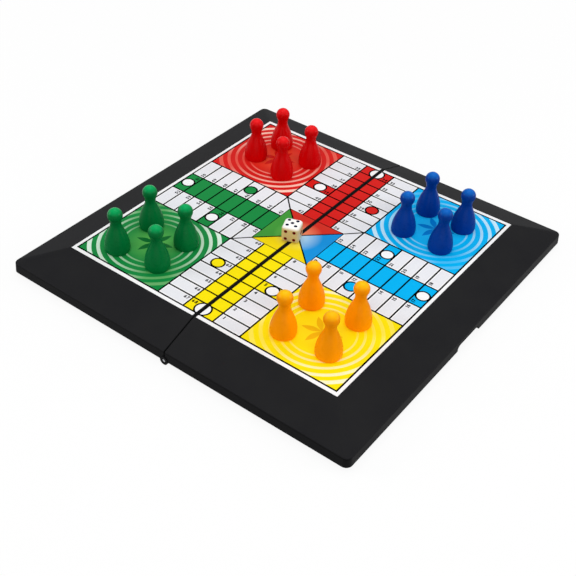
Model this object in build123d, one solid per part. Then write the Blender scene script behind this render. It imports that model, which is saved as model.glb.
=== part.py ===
from build123d import *
import math
import os

# Folding ludo board: two hinged tray halves with a printed magnetic playing face, sixteen pawns
# and a die. Millimetres. The board lies open with its playing face up (+Z). The fold runs along Y
# at x = 0, and the lowest points, the hinge knuckles and the latch tab, are at z = 0.

# ---- Case ---------------------------------------------------------------------------------
board_side = 250.0  # open board, along X and along Y, at the top of its upright edge
wall_draft = 0.5  # the upright walls lean out by this much down to the rims
corner_radius = 3.6  # vertical corners of the open board
edge_height = 6.4  # upright outer edge, from the rims to where the border starts to slope
border_width = 25.0  # sloping border, from the outer edge to the flat top
slope_rise = 9.1  # height gained across the border
wall_thickness = 2.0  # upright walls
deck_thickness = 1.8  # flat top and sloping border
edge_round = 0.8  # rounding between upright edge and border
top_corner_radius = 0.8  # corners of the flat top
fold_gap = 0.5  # between the two halves at the fold
fold_bevel = 0.3  # along the upper edges of the fold
rim_gap = 0.1  # between the two rims when the box is shut

# ---- Printed sheet on a steel plate, let into the top --------------------------------------
print_inset = 0.6  # from the edge of the flat top to the printed sheet
print_thickness = 0.3
plate_thickness = 0.4
plate_inset = 0.5  # the plate is this much smaller than the sheet, all round
fold_strip = 1.0  # bare plastic from the fold to each sheet
recess_clearance = 0.1
print_margin = 2.8  # white margin outside the outer frame line
house_side = 66.4  # coloured corner squares

# ---- Hinge --------------------------------------------------------------------------------
knuckle_radius = 2.8
pin_radius = 1.0
pin_bore_clearance = 0.05  # round the pin, in the knuckle that turns on it
knuckle_clearance = 0.3  # round a knuckle, in the other half
outer_knuckle_length = 6.5
middle_knuckle_length = 10.0
inner_knuckle_length = 6.5
knuckle_spacing = 0.3  # between neighbouring knuckles
knuckle_reach = 0.3  # outer knuckle's face beyond the rim
pin_recess = 0.2  # pin end below the outer knuckle's face

# ---- Latch --------------------------------------------------------------------------------
notch_width = 25.4
notch_height = 3.2
notch_corner_radius = 3.0
tab_side_clearance = 0.2
tab_reach = 2.8  # tab below the hinge axis

# ---- Pawns --------------------------------------------------------------------------------
pawn_height = 30.2
pawn_base_radius = 7.9  # widest point
pawn_foot_radius = 7.45  # where it stands on the board
pawn_base_height = 2.6  # height of the widest point
pawn_belly_radius = 6.7  # on the flank, at pawn_belly_height
pawn_belly_height = 9.9
pawn_shoulder_radius = 5.1  # higher on the flank, at pawn_shoulder_height
pawn_shoulder_height = 14.3
pawn_neck_radius = 3.45  # just below the narrowest point, at pawn_neck_height
pawn_neck_height = 18.7
pawn_collar_radius = 4.3  # where the neck runs smoothly into the ball
pawn_head_radius = 4.7
magnet_radius = 4.8
magnet_thickness = 2.0
magnet_clearance = 0.05

# Each pawn's place, from the middle of its house along X and Y
pawn_places = {
    "green": ((-13.2, -19.1), (-13.8, 11.8), (16.1, 10.9), (16.8, -15.8)),
    "red": ((-13.9, -8.7), (-8.8, 14.4), (19.9, 8.7), (14.0, -15.6)),
    "blue": ((-14.7, -16.1), (-13.9, 13.2), (13.3, 11.5), (12.7, -16.5)),
    "yellow": ((-16.0, -14.5), (-18.8, 16.3), (12.2, 19.0), (13.7, -12.4)),
}
# Which way each colour's house lies from the middle of the board
house_directions = {"green": (-1, -1), "red": (-1, 1), "blue": (1, 1), "yellow": (1, -1)}

# ---- Die ----------------------------------------------------------------------------------
die_side = 11.7
die_round = 2.4
pip_radius = 1.1
pip_depth = 0.4
ace_pip_radius = 1.6  # the single pip of the one
ace_pip_depth = 0.5
pip_offset = 2.72  # outer pips from the middle of a face
die_x = -1.5
die_y = -4.6
die_turn = 21.4  # degrees about Z

# ---- Worked out from the sizes above -------------------------------------------------------
half_side = board_side / 2
rim_side = board_side + 2 * wall_draft
rim_half = rim_side / 2
hinge_z = knuckle_radius
rim_z = hinge_z + rim_gap / 2
edge_z = rim_z + edge_height
top_z = edge_z + slope_rise
flat_side = board_side - 2 * border_width
print_side = flat_side - 2 * print_inset
recess_depth = print_thickness + plate_thickness
print_half = print_side / 2
slope_angle = math.atan2(slope_rise, border_width)
slope_drop = deck_thickness / math.cos(slope_angle)  # plumb thickness of the sloping border
ceiling_z = top_z - recess_depth - deck_thickness
fold_face_x = fold_gap / 2
far = 2 * board_side  # safely past everything
hair = 0.001  # two positions closer than this are the same

os.makedirs("parts", exist_ok=True)


def block(x_range, y_range, z_range):
    """A box between two corners."""
    size = [high - low for low, high in (x_range, y_range, z_range)]
    middle = [(high + low) / 2 for low, high in (x_range, y_range, z_range)]
    return Pos(*middle) * Box(*size)


def square_at(side, radius, z):
    """A horizontal square with rounded corners."""
    return Pos(0, 0, z) * RectangleRounded(side, side, radius)


def sloped_block(lower_side, lower_radius, lower_z, upper_side, upper_radius, upper_z):
    """The space between two rounded squares, with flat sloping sides."""
    lower = square_at(lower_side, lower_radius, lower_z)
    upper = square_at(upper_side, upper_radius, upper_z)
    return loft([lower.face(), upper.face()], ruled=True)


def board_outside():
    """Outer form of the whole open board, from rims to flat top."""
    upright = sloped_block(
        rim_side, corner_radius + wall_draft, rim_z, board_side, corner_radius, edge_z
    )
    border = sloped_block(board_side, corner_radius, edge_z, flat_side, top_corner_radius, top_z)
    body = upright + border
    shoulder = body.edges().filter_by_position(Axis.Z, edge_z - hair, edge_z + hair)
    return fillet(shoulder, edge_round)


def board_inside():
    """Hollow of the whole open board: upright walls, then parallel to the border, then the ceiling."""
    inner_side = board_side - 2 * wall_thickness
    inner_radius = corner_radius - wall_thickness
    inner_rim_side = rim_side - 2 * wall_thickness
    inner_rim_radius = inner_radius + wall_draft
    inner_edge_z = edge_z + wall_thickness * math.tan(slope_angle) - slope_drop
    ceiling_inset = (ceiling_z + slope_drop - edge_z) / math.tan(slope_angle)
    ceiling_side = board_side - 2 * ceiling_inset
    upright = sloped_block(
        inner_rim_side, inner_rim_radius, rim_z, inner_side, inner_radius, inner_edge_z
    )
    under_border = sloped_block(
        inner_side, inner_radius, inner_edge_z, ceiling_side, top_corner_radius, ceiling_z
    )
    below_rims = extrude(
        square_at(inner_rim_side, inner_rim_radius, rim_z - edge_height), edge_height
    )
    return upright + under_border + below_rims


def side_range(side, near, far_off):
    """The range in X from near to far_off, measured away from the fold on one side of it."""
    return tuple(sorted((side * near, side * far_off)))


def knuckle_ranges(end):
    """Y ranges of the outer, middle and inner knuckle of one hinge. end is -1 at the front, 1 at the rear."""
    ranges = []
    outer_face = rim_half + knuckle_reach
    for length in (outer_knuckle_length, middle_knuckle_length, inner_knuckle_length):
        ranges.append(tuple(sorted((end * outer_face, end * (outer_face - length)))))
        outer_face -= length + knuckle_spacing
    return ranges


def rod(radius, y_range):
    """A cylinder about the hinge axis."""
    length = y_range[1] - y_range[0]
    middle = (y_range[1] + y_range[0]) / 2
    return Pos(0, middle, hinge_z) * Rot(90, 0, 0) * Cylinder(radius, length)


def widened(y_range, extra):
    return (y_range[0] - extra, y_range[1] + extra)


def case_half(side):
    """One tray half: side is -1 for the left half, 1 for the right half."""
    shape = board_outside() & block(side_range(side, fold_face_x, far), (-far, far), (-far, far))
    at_fold = shape.edges().filter_by_position(
        Axis.X, side * fold_face_x - hair, side * fold_face_x + hair
    )
    upper_edges = [edge for edge in at_fold if edge.bounding_box().max.Z > edge_z]
    shape = chamfer(upper_edges, fold_bevel)
    hollow = side_range(side, fold_face_x + wall_thickness, far)
    shape -= board_inside() & block(hollow, (-far, far), (-far, far))
    recess_half = print_half + recess_clearance
    shape -= block(
        side_range(side, fold_strip - recess_clearance, recess_half),
        (-recess_half, recess_half),
        (top_z - recess_depth, far),
    )
    for end in (-1, 1):
        outer, middle, inner = knuckle_ranges(end)
        own = (outer, inner) if side < 0 else (middle,)
        others = (middle,) if side < 0 else (outer, inner)
        for y_range in others:
            past_ends = widened(y_range, knuckle_spacing)
            shape -= rod(knuckle_radius + knuckle_clearance, past_ends)
        for y_range in own:
            shape += rod(knuckle_radius, y_range)
        bore_radius = pin_radius if side < 0 else pin_radius + pin_bore_clearance
        for y_range in own:
            shape -= rod(bore_radius, y_range)
    return shape


def latch_profile(width, height, radius, base_z, downward):
    """A low rounded outline in the YZ plane, with its open side at base_z."""
    step = -1 if downward else 1
    half = width / 2
    tip_z = base_z + step * height
    bend_z = tip_z - step * radius
    bow = radius * (1 - math.cos(math.radians(45)))  # middle of a quarter round, from its sides
    lines = Polyline((-half + radius, tip_z), (half - radius, tip_z))
    lines += ThreePointArc(
        (half - radius, tip_z), (half - bow, tip_z - step * bow), (half, bend_z)
    )
    lines += Polyline((half, bend_z), (half, base_z), (-half, base_z), (-half, bend_z))
    lines += ThreePointArc(
        (-half, bend_z), (-half + bow, tip_z - step * bow), (-half + radius, tip_z)
    )
    return Plane.YZ * make_face(lines)


def left_case():
    """The left half, with the latch tab below the middle of its outer wall."""
    shape = case_half(-1)
    width = notch_width - 2 * tab_side_clearance
    height = tab_reach + rim_gap / 2
    radius = notch_corner_radius - tab_side_clearance
    outline = latch_profile(width, height, radius, rim_z, downward=True)
    tab = extrude(Pos(-rim_half, 0, 0) * outline, wall_thickness)
    return shape + tab


def right_case():
    """The right half, with the notch that takes the tab."""
    shape = case_half(1)
    outline = latch_profile(notch_width, notch_height, notch_corner_radius, rim_z, downward=False)
    inside_x = half_side - 2 * wall_thickness
    return shape - extrude(Pos(inside_x, 0, 0) * outline, far)


def hinge_pin(end):
    """Steel pin through the three knuckles of one hinge."""
    outer, _, inner = knuckle_ranges(end)
    low = min(outer + inner)
    high = max(outer + inner)
    if end < 0:
        low += pin_recess
    else:
        high -= pin_recess
    return rod(pin_radius, (low, high))


def board_print(side):
    """Printed sheet of one half."""
    return block(
        side_range(side, fold_strip, print_half),
        (-print_half, print_half),
        (top_z - print_thickness, top_z),
    )


def steel_plate(side):
    """Thin steel plate under the printed sheet, which holds the magnets."""
    reach = print_half - plate_inset
    return block(
        side_range(side, fold_strip + plate_inset, reach),
        (-reach, reach),
        (top_z - recess_depth, top_z - print_thickness),
    )


def pawn_and_magnet():
    """A bell-shaped pawn with a ball head, and the disc magnet in its foot, standing at the origin."""
    head_z = pawn_height - pawn_head_radius
    collar_angle = math.asin(pawn_collar_radius / pawn_head_radius)
    collar_flare = (math.cos(collar_angle), math.sin(collar_angle))
    collar = (pawn_collar_radius, head_z - pawn_head_radius * collar_flare[0])
    widest = (pawn_base_radius, pawn_base_height)
    outline = Polyline((0, 0), (pawn_foot_radius, 0))
    outline += TangentArc(widest, (pawn_foot_radius, 0), tangent=(0, -1))
    outline += Spline(
        widest,
        (pawn_belly_radius, pawn_belly_height),
        (pawn_shoulder_radius, pawn_shoulder_height),
        (pawn_neck_radius, pawn_neck_height),
        collar,
        tangents=((0, 1), collar_flare),
    )
    outline += ThreePointArc(collar, (pawn_head_radius, head_z), (0, pawn_height))
    outline += Polyline((0, pawn_height), (0, 0))
    body = revolve(Plane.XZ * make_face(outline), Axis.Z)
    on_foot = (Align.CENTER, Align.CENTER, Align.MIN)
    pocket = Cylinder(magnet_radius + magnet_clearance, magnet_thickness, align=on_foot)
    magnet = Cylinder(magnet_radius, magnet_thickness, align=on_foot)
    return body - pocket, magnet


def pip_spots(count):
    """Places of the pips on a face, as steps of pip_offset across and up."""
    corners = [(-1, -1), (1, 1), (-1, 1), (1, -1)]
    if count == 6:
        return corners + [(-1, 0), (1, 0)]
    middle = [(0, 0)] if count % 2 else []
    return corners[: count - count % 2] + middle


def pip_ball(count):
    """Radius of the ball that cuts a face's pips, and its height above the die's middle."""
    radius, depth = (ace_pip_radius, ace_pip_depth) if count == 1 else (pip_radius, pip_depth)
    ball_radius = (radius**2 + depth**2) / (2 * depth)
    return ball_radius, die_side / 2 + ball_radius - depth


def make_die():
    """Rounded die with dimpled pips. Five is up and four faces the front."""
    cube = fillet(Box(die_side, die_side, die_side).edges(), die_round)
    turns = {
        5: Rot(0, 0, 0),
        2: Rot(180, 0, 0),
        4: Rot(90, 0, 0),
        3: Rot(-90, 0, 0),
        1: Rot(0, 90, 0),
        6: Rot(0, -90, 0),
    }
    balls = []
    for count, turn in turns.items():
        ball_radius, ball_height = pip_ball(count)
        for across, up in pip_spots(count):
            spot = Pos(across * pip_offset, up * pip_offset, ball_height)
            balls.append(turn * spot * Sphere(ball_radius))
    cube -= balls
    return Pos(die_x, die_y, top_z + die_side / 2) * Rot(0, 0, die_turn) * cube


def house_middle(colour):
    """Centre of a colour's corner square."""
    reach = print_half - print_margin - house_side / 2
    return tuple(reach * way for way in house_directions[colour])


def write(shape, name):
    export_step(shape, f"parts/{name}.step")


write(left_case(), "left_case")
write(right_case(), "right_case")
write(hinge_pin(-1), "front_hinge_pin")
write(hinge_pin(1), "rear_hinge_pin")
for side, name in ((-1, "left"), (1, "right")):
    write(board_print(side), f"{name}_board_print")
    write(steel_plate(side), f"{name}_steel_plate")

pawn, magnet = pawn_and_magnet()
for colour, places in pawn_places.items():
    middle_x, middle_y = house_middle(colour)
    for number, (along, up) in enumerate(places, start=1):
        spot = Pos(middle_x + along, middle_y + up, top_z)
        write(spot * pawn, f"{colour}_pawn_{number}")
        write(spot * magnet, f"{colour}_magnet_{number}")

write(make_die(), "die")
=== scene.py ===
import math

import bmesh
import bpy
from mathutils import Matrix, Vector
from mathutils.geometry import delaunay_2d_cdt


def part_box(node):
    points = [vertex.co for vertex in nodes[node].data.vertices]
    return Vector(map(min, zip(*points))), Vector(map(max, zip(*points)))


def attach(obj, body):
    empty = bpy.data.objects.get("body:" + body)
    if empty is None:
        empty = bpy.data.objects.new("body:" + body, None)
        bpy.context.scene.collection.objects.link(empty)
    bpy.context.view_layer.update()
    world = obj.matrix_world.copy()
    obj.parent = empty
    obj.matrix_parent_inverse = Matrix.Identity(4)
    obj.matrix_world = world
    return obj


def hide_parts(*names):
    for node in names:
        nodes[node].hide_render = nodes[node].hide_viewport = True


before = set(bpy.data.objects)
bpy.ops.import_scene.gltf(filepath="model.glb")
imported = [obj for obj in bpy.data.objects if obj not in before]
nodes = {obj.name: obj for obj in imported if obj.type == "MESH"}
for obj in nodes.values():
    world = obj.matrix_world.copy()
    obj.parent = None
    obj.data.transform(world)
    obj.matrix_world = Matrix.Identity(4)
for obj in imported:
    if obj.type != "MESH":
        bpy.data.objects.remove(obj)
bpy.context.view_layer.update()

# Folding ludo board, dressed for rendering. Metres, unless a name or comment says mm.
MM = 0.001
COLOURS = ("green", "red", "blue", "yellow")

# ---- Camera, solved from the straight edges of the board ------------------------------------
VIEW_AZIMUTH = 34.987
VIEW_ELEVATION = 39.990
VIEW_ROLL = 3.127
VIEW_DISTANCE = 0.6079
VIEW_TARGET = Vector((0.01557, -0.03005, 0.00285))
FOCAL_LENGTH = 61.64  # mm, on a 36 mm sensor

# ---- Printed face, mm, from the middle of the board ------------------------------------------
SHEET_LOW, SHEET_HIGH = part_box("right_board_print")
PRINT_HALF = SHEET_HIGH.x / MM
FOLD_STRIP = SHEET_LOW.x / MM
FOLD_SHADE_STRIP_EDGE = FOLD_STRIP + 0.35  # outer edge of the narrow black strip in which the print ends at the fold: painted shade of the fold gap
PRINT_TOP = SHEET_HIGH.z
PRINT_THICKNESS = SHEET_HIGH.z - SHEET_LOW.z
FRAME_X = 96.8  # outer frame line
FRAME_Y = 96.4
HOUSE_X = 30.8  # inner sides of the corner houses
HOUSE_Y = 30.0
MIDDLE_X = 11.1  # sides of the middle lane of the front and rear arms
MIDDLE_Y = 10.0  # sides of the middle lane of the left and right arms
CENTRE_X = 21.1  # centre square
CENTRE_Y = 20.0
CELLS = 8  # along each lane, from the centre square to the frame
START_CELL = 3  # counted from the centre
LINE = 1.1  # width of the black lines
THIN_LINE = 0.95  # width of the diagonals
KEYLINE = 0.6  # white between a black line and a grey cell
SPOT_RADIUS = 4.3  # discs of the cells
END_SPOT_RADIUS = 5.2  # discs at the ends of the front and rear middle lanes
RING_RADII = (41.5, 35.8, 30.4, 25.4, 20.8)  # outer edges of a house's rings
RING_WIDTHS = (2.7, 2.2, 1.8, 1.5, 1.2)
RING_SIDES = 120  # straight sides of a ring's outline
RING_FADE = (8.0, 42.0)  # the rings pale between these distances from the middle
RING_SHEEN = 0.88  # how much less pale they are across the board's diagonal than along it
SHEEN_EDGES = (0.2, 0.9)  # cosines from the diagonal between which they gain that paleness
CENTRE_FADE = (2.0, 16.0)  # the centre triangles change ink between these distances from the middle
PETALS = 6
PETAL_TURN = 15  # degrees of the first petal from the X axis
ROSETTE_RADIUS = 12.5
PETAL_WIDTH = 3.9
DIGIT_HEIGHT = 2.6
DIGIT_GAP = 0.14 * DIGIT_HEIGHT
DIGIT_WEIGHT = 0.045  # outward offset of a digit's outline, for a letter size of 1
NUMBER_INSET = 3.1  # middle of a number from the middle lane's line
NUMBER_RISE = 2.5  # middle of a number from the cell line nearer the centre
SMALLEST_AREA = 0.001  # mm2; a shape below this is left out, since it upsets the triangulation
MERGE_DISTANCE = 0.0001  # points nearer than this become one in the triangulation

# ---- Places on the case, the pawns and the die, metres ------------------------------------------
WALL_FOOT = 2.85 * MM  # lower edge of the upright wall
WALL_TOP = 9.25 * MM  # where the upright wall meets the sloping border
SHOULDER = 0.7 * MM  # height over which the wall's finish, with its painted shade, turns into the slope's
FOLD_FACE_SHADE_EDGES = (0.4 * MM, 0.8 * MM)  # from the fold plane; the fold faces have the wall's finish, with its painted shade standing for the shade in the fold gap
SHOULDER_SHADE_HEIGHT = 8.6 * MM  # height of the dark line of painted shade under the shoulder
SHOULDER_SHADE_EDGES = (0.2 * MM, 0.8 * MM)  # it fades out between these distances from its middle
RIM_SHADE_EDGES = (0.2 * MM, 1.0 * MM)  # the dark line of painted shade along the rim fades out between these heights above it
PAINTED_LIGHT_SPAN = (0.9, 1.0)  # heights on a pawn, as shares of the whole, between which painted light from above lightens its plastic

DIE_TURN = 21.4  # degrees about Z
DIE_ROUND = 2.4 * MM
DIE_SHADE_UPWARDS = (0.25, 0.85)  # Z of the face's normal, between which the die turns from painted shade and painted yellow reflection to white
DIMPLE_START = 0.02 * MM  # a die face this far below the plain rounded cube belongs to a pip

# Which way each house lies from the centre, and each colour's own middle lane
HOUSES = {"green": (-1, -1), "red": (-1, 1), "blue": (1, 1), "yellow": (1, -1)}
LANES = {"green": (-1, 0), "red": (0, 1), "blue": (1, 0), "yellow": (0, -1)}


def per_colour(*values):
    """One value for each of the four colours, in the order of COLOURS."""
    return dict(zip(COLOURS, values))


# ---- Colours as they look, 0 to 255 --------------------------------------------------------------
# Lanes, discs and the ground of the houses
INK = per_colour((20, 136, 64), (215, 30, 26), (0, 180, 244), (255, 233, 8))
# Centre triangles, in the middle and at their outer ends
INK_LIGHT = per_colour((120, 200, 90), (250, 150, 110), (190, 225, 250), (255, 240, 110))
INK_OUTER = per_colour((66, 152, 58), (208, 46, 34), (20, 146, 222), (246, 218, 12))
# Rings of the houses, near the rosette and at their palest
INK_MIST = per_colour((66, 160, 68), (226, 58, 42), (28, 184, 245), (255, 234, 38))
INK_RING = per_colour((226, 246, 232), (255, 214, 196), (206, 238, 254), (255, 250, 210))
# Middle of the houses, and the rosettes on it
INK_MIDDLE = per_colour((100, 186, 84), (230, 84, 50), (40, 168, 232), (255, 224, 30))
INK_DEEP = per_colour((12, 105, 44), (205, 22, 20), (0, 120, 205), (244, 190, 10))
# Pawns, and the painted light from above on the tops of their heads
PAWN = per_colour((0, 106, 50), (200, 0, 3), (0, 53, 138), (253, 150, 0))
PAWN_PAINTED_LIGHT = per_colour((8, 168, 92), (238, 30, 34), (16, 104, 198), (255, 196, 14))
SHEET_WHITE = (248, 248, 249)
CELL_GREY = (236, 237, 242)
BLACK = (6, 6, 6)
CASE_SLOPES = ((33, 33, 35), (37, 37, 38))
# darker than the slopes: painted shade on the walls and fold faces
CASE_WALL_SHADED = (20, 20, 21)
CASE_SHADE_LINE = (9, 9, 10)  # painted shade: the dark lines under the shoulder and along the rim
# the die's sides: painted shade, and a painted reflection of the yellow print
DIE_SHADED_SIDES = ((206, 184, 132), (212, 192, 142))
DIE_TOP = (252, 251, 249)
PIP_NAVY = (4, 5, 46)
PIP_RED = (104, 4, 4)
PIN_STEEL = (190, 191, 194)
PLATE_STEEL = (168, 170, 173)
MAGNET_NICKEL = (196, 196, 200)
FLOOR_WHITE = (250, 250, 250)
FLOOR_GREY = (160, 160, 160)  # what the floor throws back on the object

# ---- Stage: distances and sizes in metres, powers in watts ------------------------------------------
FLOOR_SIZE = 12
FLOOR_GLOW = (0.9, 1.0)  # share of plain white in the floor, near the board and far away
FLOOR_GLOW_EDGES = (0.3, 0.8)  # distances from the middle of the board between which it changes
WORLD_LIGHT = 0.2
# Azimuth (0 in front, 90 at the right), elevation, distance, size and power
LAMPS = {
    "overhead": (200, 80, 1.3, 1.1, 9),
    "left_box": (-55, 20, 1.3, 0.5, 5.6),
    "right_box": (120, 20, 1.3, 0.5, 6),
    "fill": (35, 25, 1.5, 1.8, 13),
}

# ---- Finishes ----------------------------------------------------------------------------------
CASE_ROUGHNESS = (0.42, 0.52)
CASE_GLOSS = (0.03, 0.01)  # specular levels of the walls and of the slopes
PAWN_ROUGHNESS = (0.26, 0.32)
FILM_ROUGHNESS = (0.34, 0.42)
SATIN_GLOSS = 0.05  # specular level of the pawns, the film and the pips


def linear(rgb):
    """Scene-linear colour of a 0 to 255 display colour."""
    values = [c / 255 for c in rgb]
    return tuple(c / 12.92 if c <= 0.04045 else ((c + 0.055) / 1.055) ** 2.4 for c in values) + (1.0,)


def shaded(rgb, share):
    """Scene-linear colour of a 0 to 255 display colour, darkened to that share."""
    return tuple(share * c for c in linear(rgb)[:3]) + (1.0,)


# ---- Materials ---------------------------------------------------------------------------------
def blank_material(name):
    material = bpy.data.materials.new(name)
    material.use_nodes = True
    tree = material.node_tree
    return material, tree, tree.nodes["Principled BSDF"]


def node(tree, kind, inputs=None, **settings):
    """A new shader node with its settings and the values or links of its inputs."""
    made = tree.nodes.new(kind)
    for key, value in settings.items():
        setattr(made, key, value)
    for key, value in (inputs or {}).items():
        if isinstance(value, bpy.types.NodeSocket):
            tree.links.new(value, made.inputs[key])
        else:
            made.inputs[key].default_value = value
    return made


def arithmetic(tree, operation, *values, **settings):
    """Result of a math node on numbers or links."""
    return node(tree, "ShaderNodeMath", dict(enumerate(values)), operation=operation, **settings).outputs[0]


def vector_math(tree, operation, *values):
    """Result of a vector math node: a number or a vector, as the operation gives."""
    made = node(tree, "ShaderNodeVectorMath", dict(enumerate(values)), operation=operation)
    gives_number = operation in ("DISTANCE", "DOT_PRODUCT", "LENGTH")
    return made.outputs["Value" if gives_number else "Vector"]


def place(tree):
    """Position on the piece in the row frame, which moves with the piece."""
    return node(tree, "ShaderNodeTexCoord").outputs["Object"]


def noise(tree, size, detail=2.0, vector=None):
    """Noise whose features are about size metres across."""
    inputs = {"Vector": vector or place(tree), "Scale": 1 / size, "Detail": detail}
    return node(tree, "ShaderNodeTexNoise", inputs).outputs["Fac"]


def spread(tree, value, low, high, from_low=0.3, from_high=0.7):
    """value, mapped to low..high."""
    inputs = {"Value": value, "From Min": from_low, "From Max": from_high, "To Min": low, "To Max": high}
    return node(tree, "ShaderNodeMapRange", inputs).outputs["Result"]


def mix(tree, factor, first, second):
    """Colour between first and second."""
    made = node(tree, "ShaderNodeMix", data_type="RGBA")
    for key, value in ((0, factor), (6, first), (7, second)):
        if isinstance(value, bpy.types.NodeSocket):
            tree.links.new(value, made.inputs[key])
        else:
            made.inputs[key].default_value = value
    return made.outputs[2]


def mottled(tree, size, dark, light, detail=2.0):
    """Colour that wanders between dark and light over about size metres."""
    return mix(tree, spread(tree, noise(tree, size, detail), 0.0, 1.0), dark, light)


def bump(tree, shader, height, distance, strength):
    inputs = {"Height": height, "Distance": distance, "Strength": strength}
    tree.links.new(node(tree, "ShaderNodeBump", inputs).outputs["Normal"], shader.inputs["Normal"])


def case_plastic():
    """Black moulded plastic: slopes with a fine grain, and glossier walls and fold faces darkened with
    painted shade.

    The walls have a dark line of painted shade under the shoulder and one along the rim.
    """
    material, tree, shader = blank_material("case_plastic")
    grain = noise(tree, 0.5 * MM, 3.0)
    cloud = noise(tree, 30 * MM, 3.0)
    slopes = mix(tree, spread(tree, cloud, 0.0, 1.0), *(linear(rgb) for rgb in CASE_SLOPES))
    spot = node(tree, "ShaderNodeSeparateXYZ", {"Vector": place(tree)}).outputs
    above_wall = spread(tree, spot["Z"], 0.0, 1.0, WALL_TOP - SHOULDER, WALL_TOP)
    from_fold = arithmetic(tree, "ABSOLUTE", spot["X"])
    off_fold = spread(tree, from_fold, 0.0, 1.0, *FOLD_FACE_SHADE_EDGES)
    # 1 on the slopes, 0 on the walls and fold faces, whose darker colour is painted shade
    slope_not_shaded_wall = arithmetic(tree, "MINIMUM", above_wall, off_fold)
    # painted shade: a dark line under the shoulder, and one along the rim
    from_shoulder_shade = arithmetic(tree, "ABSOLUTE", arithmetic(tree, "SUBTRACT", spot["Z"], SHOULDER_SHADE_HEIGHT))
    shoulder_shade = spread(tree, from_shoulder_shade, 1.0, 0.0, *SHOULDER_SHADE_EDGES)
    rim = spread(tree, spot["Z"], 1.0, 0.0, *(WALL_FOOT + edge for edge in RIM_SHADE_EDGES))
    walls = mix(tree, arithmetic(tree, "MAXIMUM", shoulder_shade, rim), linear(CASE_WALL_SHADED), linear(CASE_SHADE_LINE))
    tree.links.new(mix(tree, slope_not_shaded_wall, walls, slopes), shader.inputs["Base Color"])
    tree.links.new(spread(tree, cloud, *CASE_ROUGHNESS), shader.inputs["Roughness"])
    tree.links.new(spread(tree, slope_not_shaded_wall, *CASE_GLOSS, 0.0, 1.0), shader.inputs["Specular IOR Level"])
    bump(tree, shader, grain, 0.02 * MM, 0.5)
    return material


def pawn_plastic(colour):
    """Satin moulded plastic, with painted light from above at the top of the head."""
    material, tree, shader = blank_material(f"{colour}_pawn_plastic")
    foot, top = (corner.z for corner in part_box(f"{colour}_pawn_1"))
    body = mottled(tree, 8 * MM, shaded(PAWN[colour], 0.92), linear(PAWN[colour]))
    height = node(tree, "ShaderNodeSeparateXYZ", {"Vector": place(tree)}).outputs["Z"]
    # painted light from above: the top of the head lighter
    painted_light = spread(tree, height, 0.0, 1.0, *(foot + share * (top - foot) for share in PAINTED_LIGHT_SPAN))
    tree.links.new(mix(tree, painted_light, body, linear(PAWN_PAINTED_LIGHT[colour])), shader.inputs["Base Color"])
    tree.links.new(spread(tree, noise(tree, 2 * MM), *PAWN_ROUGHNESS), shader.inputs["Roughness"])
    shader.inputs["Specular IOR Level"].default_value = SATIN_GLOSS
    bump(tree, shader, noise(tree, 0.6 * MM), 0.01 * MM, 0.4)
    return material


def metal(name, rgb, roughness, stretch=(1.0, 1.0, 1.0)):
    """Bright metal with fine drawing marks along the stretched axis."""
    material, tree, shader = blank_material(name)
    stretched = node(tree, "ShaderNodeMapping", {"Vector": place(tree), "Scale": stretch}).outputs["Vector"]
    marks = noise(tree, 0.3 * MM, 3.0, stretched)
    colour = mix(tree, spread(tree, marks, 0.0, 1.0), shaded(rgb, 0.8), linear(rgb))
    tree.links.new(colour, shader.inputs["Base Color"])
    tree.links.new(spread(tree, marks, roughness, roughness + 0.12), shader.inputs["Roughness"])
    shader.inputs["Metallic"].default_value = 1.0
    return material


def film_finish(tree, shader, specular=SATIN_GLOSS):
    """The clear film over the print: satin gloss with a slight unevenness."""
    tree.links.new(spread(tree, noise(tree, 6 * MM, 3.0), *FILM_ROUGHNESS), shader.inputs["Roughness"])
    shader.inputs["Specular IOR Level"].default_value = specular
    bump(tree, shader, noise(tree, 0.9 * MM), 0.008 * MM, 0.4)


def ink(name, rgb, grain=0.03, specular=SATIN_GLOSS):
    """Flat printed ink under film, with the faint grain of the print screen."""
    material, tree, shader = blank_material(f"ink_{name}")
    colour = mottled(tree, 0.5 * MM, shaded(rgb, 1 - grain), linear(rgb), 1.0)
    tree.links.new(colour, shader.inputs["Base Color"])
    film_finish(tree, shader, specular)
    return material


def fading_ink(name, near, far, middle, start, end, sheen=0.0):
    """Ink that runs from near to far between the distances start and end (mm) from middle (mm).

    sheen takes that share of the change away across the line from the board's middle through middle.
    """
    material, tree, shader = blank_material(f"ink_{name}")
    centre = Vector((middle[0] * MM, middle[1] * MM, PRINT_TOP))
    spot = place(tree)
    distance = vector_math(tree, "DISTANCE", spot, centre)
    share = spread(tree, distance, 0.0, 1.0, start * MM, end * MM)
    if sheen:
        way = vector_math(tree, "NORMALIZE", vector_math(tree, "SUBTRACT", spot, centre))
        diagonal = Vector((middle[0], middle[1], 0.0)).normalized()
        along = arithmetic(tree, "ABSOLUTE", vector_math(tree, "DOT_PRODUCT", way, diagonal))
        kept = spread(tree, along, 1.0 - sheen, 1.0, *SHEEN_EDGES)
        share = arithmetic(tree, "MULTIPLY", share, kept)
    tree.links.new(mix(tree, share, linear(near), linear(far)), shader.inputs["Base Color"])
    film_finish(tree, shader)
    return material


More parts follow.
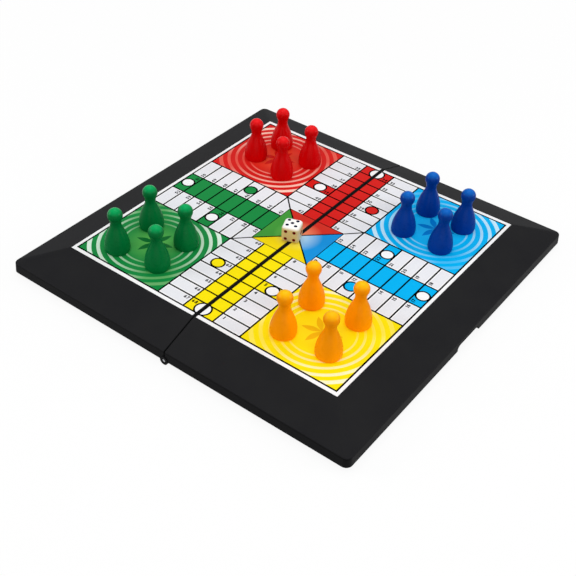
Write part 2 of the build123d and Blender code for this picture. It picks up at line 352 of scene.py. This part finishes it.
def make_inks():
    """Every ink of the print by name."""
    inks = {
        "white": ink("white", SHEET_WHITE, 0.01),
        "grey": ink("grey", CELL_GREY, 0.05),
        "black": ink("black", BLACK, specular=0.0),
    }
    for colour in COLOURS:
        middle = house_middle(colour)
        fades = {
            "centre": (INK_LIGHT, INK_OUTER, (0, 0), *CENTRE_FADE),
            "ring": (INK_MIST, INK_RING, middle, *RING_FADE, RING_SHEEN),
            "house": (INK_MIDDLE, INK, middle, 0, RING_RADII[-1]),
        }
        inks[colour] = ink(colour, INK[colour])
        for use, (near, far, *reach) in fades.items():
            name = f"{colour}_{use}"
            inks[name] = fading_ink(name, near[colour], far[colour], *reach)
        inks[f"{colour}_rosette"] = ink(f"{colour}_rosette", INK_DEEP[colour])
    return inks


# ---- Flat shapes of the print: lists of (ink name, convex outline in mm) -------------------------
def house_middle(colour):
    way_x, way_y = HOUSES[colour]
    return (way_x * (HOUSE_X + FRAME_X) / 2, way_y * (HOUSE_Y + FRAME_Y) / 2)


def rectangle(x_one, x_two, y_one, y_two):
    low_x, high_x = sorted((x_one, x_two))
    low_y, high_y = sorted((y_one, y_two))
    return [(low_x, low_y), (high_x, low_y), (high_x, high_y), (low_x, high_y)]


def disc(centre, radius, sides=40):
    turns = [2 * math.pi * step / sides for step in range(sides)]
    return [(centre[0] + radius * math.cos(t), centre[1] + radius * math.sin(t)) for t in turns]


def stroke(start, end, width):
    """A straight line of that width, as a rectangle."""
    along = (Vector(end) - Vector(start)).normalized() * width / 2
    across = Vector((-along.y, along.x))
    start, end = Vector(start) - along, Vector(end) + along
    return [tuple(p) for p in (start - across, end - across, end + across, start + across)]


def petal(centre, angle, length, width, steps=8):
    """A pointed oval from centre outwards."""
    along = Vector((math.cos(angle), math.sin(angle)))
    across = Vector((-along.y, along.x))
    points = []
    for side in (-1, 1):
        for step in range(steps):
            share = step / steps if side < 0 else 1 - step / steps
            bulge = side * width / 2 * math.sin(math.pi * share)
            points.append(tuple(Vector(centre) + along * length * share + across * bulge))
    return points


def clipped(points, low_x, high_x, low_y, high_y):
    """The part of a convex outline inside a rectangle."""
    for axis, limit, sign in ((0, low_x, 1), (0, high_x, -1), (1, low_y, 1), (1, high_y, -1)):
        kept = []
        for here, after in zip(points, points[1:] + points[:1]):
            inside_here = sign * (here[axis] - limit) >= 0
            inside_after = sign * (after[axis] - limit) >= 0
            if inside_here:
                kept.append(here)
            if inside_here != inside_after:
                share = (limit - here[axis]) / (after[axis] - here[axis])
                kept.append(tuple(a + share * (b - a) for a, b in zip(here, after)))
        points = kept
        if len(points) < 3:
            return []
    return points


def arm_point(way, along, across):
    """Board position of a point of an arm: along outwards from the centre, across to the left of that."""
    return (way[0] * along - way[1] * across, way[1] * along + way[0] * across)


def arm_sizes(way):
    """Of an arm: half widths of middle lane and whole arm, distance of centre square and of frame."""
    if way[0]:
        return MIDDLE_Y, HOUSE_Y, CENTRE_X, FRAME_X
    return MIDDLE_X, HOUSE_X, CENTRE_Y, FRAME_Y


def arm_block(way, along_one, along_two, across_one, across_two):
    one = arm_point(way, along_one, across_one)
    two = arm_point(way, along_two, across_two)
    return rectangle(one[0], two[0], one[1], two[1])


def house_shapes(colour):
    """Corner house: rings about a rosette."""
    way_x, way_y = HOUSES[colour]
    middle = house_middle(colour)
    box = sorted((way_x * HOUSE_X, way_x * FRAME_X)) + sorted((way_y * HOUSE_Y, way_y * FRAME_Y))
    shapes = [(colour, rectangle(*box))]
    for radius, width in zip(RING_RADII, RING_WIDTHS):
        ground = f"{colour}_house" if radius == RING_RADII[-1] else colour
        for name, reach in ((f"{colour}_ring", radius), (ground, radius - width)):
            shapes.append((name, clipped(disc(middle, reach, RING_SIDES), *box)))
    for step in range(PETALS):
        turn = math.radians(360 / PETALS * step + PETAL_TURN)
        shapes.append((f"{colour}_rosette", petal(middle, turn, ROSETTE_RADIUS, PETAL_WIDTH)))
    return [(name, points) for name, points in shapes if points]


def arm_shapes(colour):
    """The three lanes of one arm, without its numbers."""
    way = LANES[colour]
    middle, side, near, far = arm_sizes(way)
    pitch = (far - near) / CELLS
    shapes = [(colour, arm_block(way, near, far, -middle, middle))]
    gap = LINE / 2 + KEYLINE
    for cell in range(CELLS):
        start = near + pitch * cell
        for lane in (-1, 1):
            name = "grey"
            inset = gap
            if cell == START_CELL and lane > 0:
                name, inset = colour, 0
            along = (start + inset, start + pitch - inset)
            shapes.append((name, arm_block(way, *along, lane * (middle + inset), lane * (side - inset))))
            if cell == START_CELL:
                centre = arm_point(way, start + pitch / 2, lane * (middle + side) / 2)
                fill = "white" if lane > 0 else colour
                shapes.append(("black", disc(centre, SPOT_RADIUS + LINE / 2)))
                shapes.append((fill, disc(centre, SPOT_RADIUS - LINE / 2)))
    for cell in range(CELLS + 1):
        reach = near + pitch * cell
        width = side if cell else CENTRE_X if way[1] else CENTRE_Y
        shapes.append(("black", stroke(arm_point(way, reach, -width), arm_point(way, reach, width), LINE)))
    for across in (-side, -middle, middle, side):
        start = near if abs(across) == middle else (HOUSE_X if way[0] else HOUSE_Y)
        shapes.append(("black", stroke(arm_point(way, start, across), arm_point(way, far, across), LINE)))
    end_radius = SPOT_RADIUS if way[0] else END_SPOT_RADIUS
    centre = arm_point(way, far - pitch / 2, 0)
    shapes.append(("black", disc(centre, end_radius + LINE / 2)))
    shapes.append(("white", disc(centre, end_radius - LINE / 2)))
    return shapes


def centre_shapes():
    """Four triangles that meet in the middle, and the thin diagonals out to the houses."""
    shapes = []
    for colour, way in LANES.items():
        reach, width = (CENTRE_X, CENTRE_Y) if way[0] else (CENTRE_Y, CENTRE_X)
        points = [(0.0, 0.0), arm_point(way, reach, -width), arm_point(way, reach, width)]
        shapes.append((f"{colour}_centre", points))
    for way_x, way_y in HOUSES.values():
        corner = (way_x * HOUSE_X, way_y * HOUSE_Y)
        shapes.append(("black", stroke((0.0, 0.0), (way_x * CENTRE_X, way_y * CENTRE_Y), THIN_LINE)))
        shapes.append(("black", stroke((way_x * CENTRE_X, way_y * CENTRE_Y), corner, THIN_LINE)))
    return shapes


def numbers():
    """(number, place, turn in degrees) for every numbered cell, in playing order."""
    runs = []
    for way in ((0, -1), (1, 0), (0, 1), (-1, 0)):
        middle, _, near, far = arm_sizes(way)
        pitch = (far - near) / CELLS
        turn = 90 if way[0] else 0
        outer = middle + NUMBER_INSET
        starts = [near + pitch * cell for cell in range(CELLS)]
        outwards = [(start, -outer) for start in starts] + [(far - pitch, NUMBER_INSET - middle)]
        inwards = [(start, outer) for start in reversed(starts)]
        for run in (outwards, inwards):
            runs.append([(arm_point(way, start + NUMBER_RISE, across), turn) for start, across in run])
    course = [spot for run in runs[1:] + runs[:1] for spot in run]
    return [(number, *spot) for number, spot in enumerate(course, 1)]


def digit_outlines():
    """For each digit, its filled triangles about its middle, and its width, in mm."""
    glyphs = {}
    for digit in "0123456789":
        curve = bpy.data.curves.new("digit", "FONT")
        curve.body = digit
        curve.resolution_u = 3
        curve.offset = DIGIT_WEIGHT
        lettering = bpy.data.objects.new("digit", curve)
        mesh = bpy.data.meshes.new_from_object(lettering)
        xs = [v.co.x for v in mesh.vertices]
        ys = [v.co.y for v in mesh.vertices]
        scale = DIGIT_HEIGHT / (max(ys) - min(ys))
        middle = Vector(((min(xs) + max(xs)) / 2, (min(ys) + max(ys)) / 2, 0))
        spots = [(v.co - middle) * scale for v in mesh.vertices]
        faces = [[(spots[i].x, spots[i].y) for i in face.vertices] for face in mesh.polygons]
        glyphs[digit] = (faces, (max(xs) - min(xs)) * scale)
        bpy.data.objects.remove(lettering)
        bpy.data.meshes.remove(mesh)
        bpy.data.curves.remove(curve)
    return glyphs


def number_shapes():
    """The filled triangles of all numbers, at their places."""
    glyphs = digit_outlines()
    shapes = []
    for number, centre, turn in numbers():
        digits = str(number)
        width = sum(glyphs[d][1] for d in digits) + DIGIT_GAP * (len(digits) - 1)
        start = -width / 2
        spin = math.radians(turn)
        for digit in digits:
            faces, digit_width = glyphs[digit]
            shift = start + digit_width / 2
            for face in faces:
                points = []
                for x, y in face:
                    x += shift
                    points.append((
                        centre[0] + x * math.cos(spin) - y * math.sin(spin),
                        centre[1] + x * math.sin(spin) + y * math.cos(spin),
                    ))
                shapes.append(("black", points))
            start += digit_width + DIGIT_GAP
    return shapes


def print_shapes():
    """All shapes of the whole print, the later ones on top."""
    shapes = [("white", rectangle(-PRINT_HALF, PRINT_HALF, -PRINT_HALF, PRINT_HALF))]
    for colour in COLOURS:
        shapes += house_shapes(colour)
    for colour in COLOURS:
        shapes += arm_shapes(colour)
    shapes += centre_shapes()
    for x in (-FRAME_X, FRAME_X):
        shapes.append(("black", stroke((x, -FRAME_Y), (x, FRAME_Y), LINE)))
    for y in (-FRAME_Y, FRAME_Y):
        shapes.append(("black", stroke((-FRAME_X, y), (FRAME_X, y), LINE)))
    # painted shade of the fold gap: a black strip over the print's edges at the fold
    shapes.append(("black", rectangle(-FOLD_SHADE_STRIP_EDGE, FOLD_SHADE_STRIP_EDGE, -PRINT_HALF, PRINT_HALF)))
    return shapes + number_shapes()


def area(points):
    """Area of an outline, mm2."""
    return sum(a[0] * b[1] - a[1] * b[0] for a, b in zip(points, points[1:] + points[:1])) / 2


def print_piece(name, side, shapes, inks):
    """One half's printed sheet: a flat partition into inks on a thin sheet."""
    edges = (*sorted((side * FOLD_STRIP, side * PRINT_HALF)), -PRINT_HALF, PRINT_HALF)
    kept = [(ink_name, clipped(points, *edges)) for ink_name, points in shapes]
    kept = [(ink_name, points) for ink_name, points in kept if area(points) > SMALLEST_AREA]
    spots, outlines = [], []
    for _, points in kept:
        outlines.append(list(range(len(spots), len(spots) + len(points))))
        spots += [Vector(p) for p in points]
    flat, _, faces, _, _, sources = delaunay_2d_cdt(spots, [], outlines, 1, MERGE_DISTANCE)
    slots = list(inks)
    bm = bmesh.new()
    corners = [bm.verts.new((p.x * MM, p.y * MM, PRINT_TOP)) for p in flat]
    for face, source in zip(faces, sources):
        made = bm.faces.new([corners[i] for i in face])
        made.material_index = slots.index(kept[max(source)][0])
    bmesh.ops.delete(bm, geom=[v for v in bm.verts if not v.link_faces], context="VERTS")
    bmesh.ops.recalc_face_normals(bm, faces=bm.faces)
    rim = [edge for edge in bm.edges if edge.is_boundary]
    skirt = bmesh.ops.extrude_edge_only(bm, edges=rim)["geom"]
    lowered = [item for item in skirt if isinstance(item, bmesh.types.BMVert)]
    bmesh.ops.translate(bm, verts=lowered, vec=(0, 0, -PRINT_THICKNESS))
    bmesh.ops.holes_fill(bm, edges=[edge for edge in bm.edges if edge.is_boundary], sides=0)
    bmesh.ops.recalc_face_normals(bm, faces=bm.faces)
    mesh = bpy.data.meshes.new(name)
    bm.to_mesh(mesh)
    bm.free()
    for slot_name in slots:
        mesh.materials.append(inks[slot_name])
    piece = bpy.data.objects.new(name, mesh)
    bpy.context.scene.collection.objects.link(piece)
    return piece


def dress_print():
    """Both halves of the print in place of their plain sheets."""
    inks = make_inks()
    shapes = print_shapes()
    for side, half in ((-1, "left"), (1, "right")):
        piece = print_piece(f"{half}_printed_sheet", side, shapes, inks)
        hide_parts(f"{half}_board_print")
        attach(piece, f"{half}_half")


def give(name, *materials):
    """A CAD node gets these materials in place of its plain one."""
    data = nodes[name].data
    data.materials.clear()
    for material in materials:
        data.materials.append(material)


def die_plastic():
    """Ivory plastic: white on the face turned up, with painted shade and a painted yellow reflection on the
    others.
    """
    material, tree, shader = blank_material("die_ivory")
    facing = node(tree, "ShaderNodeTexCoord").outputs["Normal"]
    upwards = node(tree, "ShaderNodeSeparateXYZ", {"Vector": facing}).outputs["Z"]
    # painted shade and painted yellow reflection on the sides
    shaded_sides = mottled(tree, 3 * MM, *(linear(rgb) for rgb in DIE_SHADED_SIDES))
    colour = mix(tree, spread(tree, upwards, 0.0, 1.0, *DIE_SHADE_UPWARDS), shaded_sides, linear(DIE_TOP))
    tree.links.new(colour, shader.inputs["Base Color"])
    shader.inputs["Roughness"].default_value = 0.18
    shader.inputs["Specular IOR Level"].default_value = 0.35
    return material


def pip_paint(name, rgb):
    """Dull paint in the dimples of the die."""
    material, tree, shader = blank_material(name)
    tree.links.new(mottled(tree, 3 * MM, shaded(rgb, 0.94), linear(rgb)), shader.inputs["Base Color"])
    shader.inputs["Roughness"].default_value = 0.5
    shader.inputs["Specular IOR Level"].default_value = SATIN_GLOSS
    return material


def dress_die():
    """Ivory die whose dimples are painted: red on the one and the four, navy on the others."""
    low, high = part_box("die")
    middle = (low + high) / 2
    reach = (high.z - low.z) / 2
    flat = reach - DIE_ROUND
    give("die", die_plastic(), pip_paint("pip_navy", PIP_NAVY), pip_paint("pip_red", PIP_RED))
    upright = Matrix.Rotation(-math.radians(DIE_TURN), 3, "Z")
    for face in nodes["die"].data.polygons:
        spot = upright @ (face.center - middle)
        axis = max(range(3), key=lambda i: abs(spot[i]))
        over = math.hypot(*(max(0.0, abs(spot[i]) - flat) for i in range(3) if i != axis))
        surface = flat + math.sqrt(max(0.0, DIE_ROUND**2 - over**2))
        if surface - abs(spot[axis]) > DIMPLE_START:
            red = (axis == 0 and spot.x > 0) or (axis == 1 and spot.y < 0)
            face.material_index = 2 if red else 1


def dress_nodes():
    """Every CAD piece but the print keeps its shape and gets its finish."""
    dress_die()
    case = case_plastic()
    pin = metal("pin_steel", PIN_STEEL, 0.25, (1.0, 0.1, 1.0))
    plate = metal("plate_steel", PLATE_STEEL, 0.35, (1.0, 0.05, 1.0))
    magnet = metal("magnet_metal", MAGNET_NICKEL, 0.18)
    for half in ("left", "right"):
        give(f"{half}_case", case)
        give(f"{half}_steel_plate", plate)
    for end in ("front", "rear"):
        give(f"{end}_hinge_pin", pin)
    for colour in COLOURS:
        plastic = pawn_plastic(colour)
        for number in range(1, 5):
            give(f"{colour}_pawn_{number}", plastic)
            give(f"{colour}_magnet_{number}", magnet)


# ---- Stage -----------------------------------------------------------------------------------
def seen_directly(tree):
    """1 for rays from the camera and for those that metal and glass send on, 0 for light on the object."""
    paths = node(tree, "ShaderNodeLightPath").outputs
    seen = arithmetic(tree, "ADD", paths["Is Camera Ray"], paths["Is Glossy Ray"])
    return arithmetic(tree, "ADD", seen, paths["Is Transmission Ray"], use_clamp=True)


def make_floor():
    """White where it is seen, with a faint shadow near the board, and grey as a light on the object."""
    bpy.ops.mesh.primitive_plane_add(size=FLOOR_SIZE)
    floor = bpy.context.object
    floor.name = "floor"
    material, tree, shader = blank_material("floor_white")
    seen = seen_directly(tree)
    tree.links.new(mix(tree, seen, linear(FLOOR_GREY), linear(FLOOR_WHITE)), shader.inputs["Base Color"])
    shader.inputs["Roughness"].default_value = 0.9
    shader.inputs["Specular IOR Level"].default_value = 0.0
    distance = vector_math(tree, "LENGTH", place(tree))
    share = arithmetic(tree, "MULTIPLY", seen, spread(tree, distance, *FLOOR_GLOW, *FLOOR_GLOW_EDGES))
    glow = node(tree, "ShaderNodeEmission", {"Color": (1, 1, 1, 1), "Strength": 1.0}).outputs[0]
    both = node(tree, "ShaderNodeMixShader", {0: share, 1: shader.outputs[0], 2: glow}).outputs[0]
    tree.links.new(both, tree.nodes["Material Output"].inputs["Surface"])
    floor.data.materials.append(material)


def make_world():
    """White where it is seen, and dim as a light on the object."""
    world = bpy.data.worlds.new("studio")
    world.use_nodes = True
    tree = world.node_tree
    background = tree.nodes["Background"]
    background.inputs["Color"].default_value = (1, 1, 1, 1)
    strength = spread(tree, seen_directly(tree), WORLD_LIGHT, 1.0, 0.0, 1.0)
    tree.links.new(strength, background.inputs["Strength"])
    bpy.context.scene.world = world


def direction(azimuth, elevation):
    """Unit vector away from the board, for angles in radians. Azimuth 0 is in front."""
    across = math.cos(elevation)
    return Vector((math.sin(azimuth) * across, -math.cos(azimuth) * across, math.sin(elevation)))


def softbox(name, azimuth, elevation, distance, size, power):
    """A square lamp that faces the middle of the board. Angles in degrees."""
    lamp = bpy.data.lights.new(name, "AREA")
    lamp.size = size
    lamp.energy = power
    box = bpy.data.objects.new(name, lamp)
    way = direction(math.radians(azimuth), math.radians(elevation))
    box.location = way * distance
    box.rotation_euler = way.to_track_quat("Z", "Y").to_euler()
    bpy.context.scene.collection.objects.link(box)


def make_lights():
    for name, settings in LAMPS.items():
        softbox(name, *settings)


def make_camera():
    azimuth, elevation, roll = (math.radians(v) for v in (VIEW_AZIMUTH, VIEW_ELEVATION, VIEW_ROLL))
    back = direction(azimuth, elevation)
    right = Vector((0, 0, 1)).cross(back).normalized()
    up = back.cross(right)
    tilted_right = right * math.cos(roll) + up * math.sin(roll)
    tilted_up = up * math.cos(roll) - right * math.sin(roll)
    lens = bpy.data.cameras.new("camera")
    lens.lens = FOCAL_LENGTH
    lens.clip_start = 0.01
    camera = bpy.data.objects.new("camera", lens)
    turn = Matrix((tilted_right, tilted_up, back)).transposed().to_4x4()
    camera.matrix_world = Matrix.Translation(VIEW_TARGET + back * VIEW_DISTANCE) @ turn
    bpy.context.scene.collection.objects.link(camera)
    bpy.context.scene.camera = camera


make_camera()
make_world()
make_floor()
make_lights()
dress_nodes()
dress_print()
bpy.context.scene.view_settings.view_transform = "Standard"
